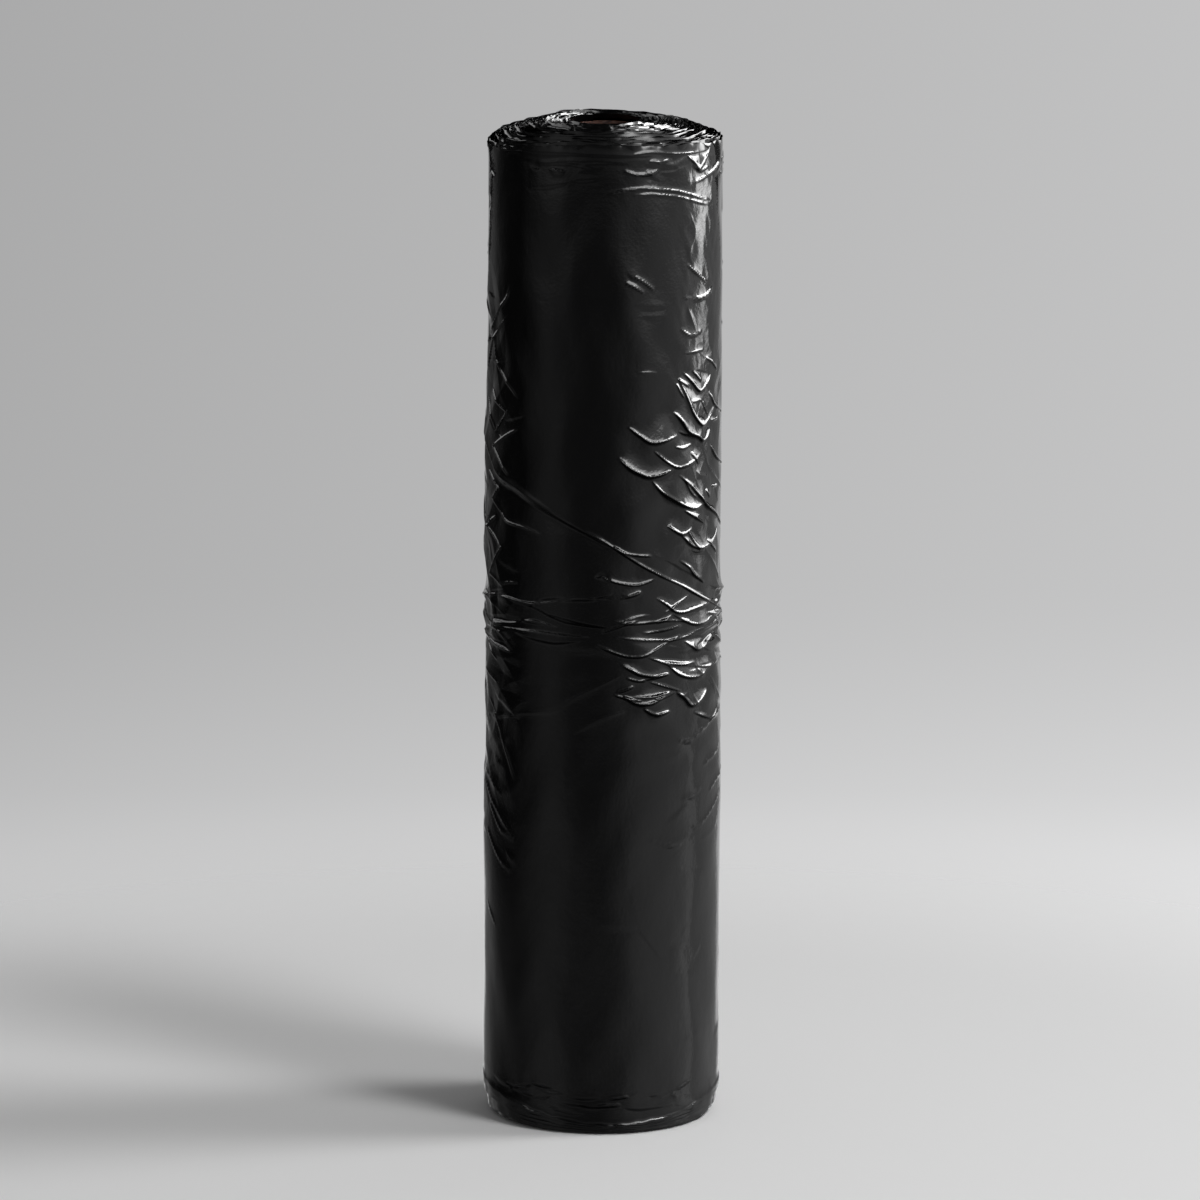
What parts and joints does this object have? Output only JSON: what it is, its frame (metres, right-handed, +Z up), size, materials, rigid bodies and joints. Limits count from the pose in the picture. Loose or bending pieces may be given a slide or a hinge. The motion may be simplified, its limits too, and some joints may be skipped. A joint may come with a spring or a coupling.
{
  "type": "roll of plastic sheeting",
  "caption": "Upright roll of folded black polyethylene sheeting on a board core, with telescoped ends and a gathered waist.",
  "frame": {"origin": "middle of the foot, on the roll's axis, at the plane the roll stands on", "axes": "+Z up the roll's axis to its domed end, -Y front, +X right; the lap runs down the back"},
  "size_m": [0.1798, 0.182, 0.762],
  "materials": {
    "black_film": "glossy black polyethylene film, creased",
    "kraft_board": "matt kraft board, spiral wound"
  },
  "bodies": {
    "root": {"film_roll": "black_film", "core_tube": "kraft_board"}
  },
  "joints": []
}
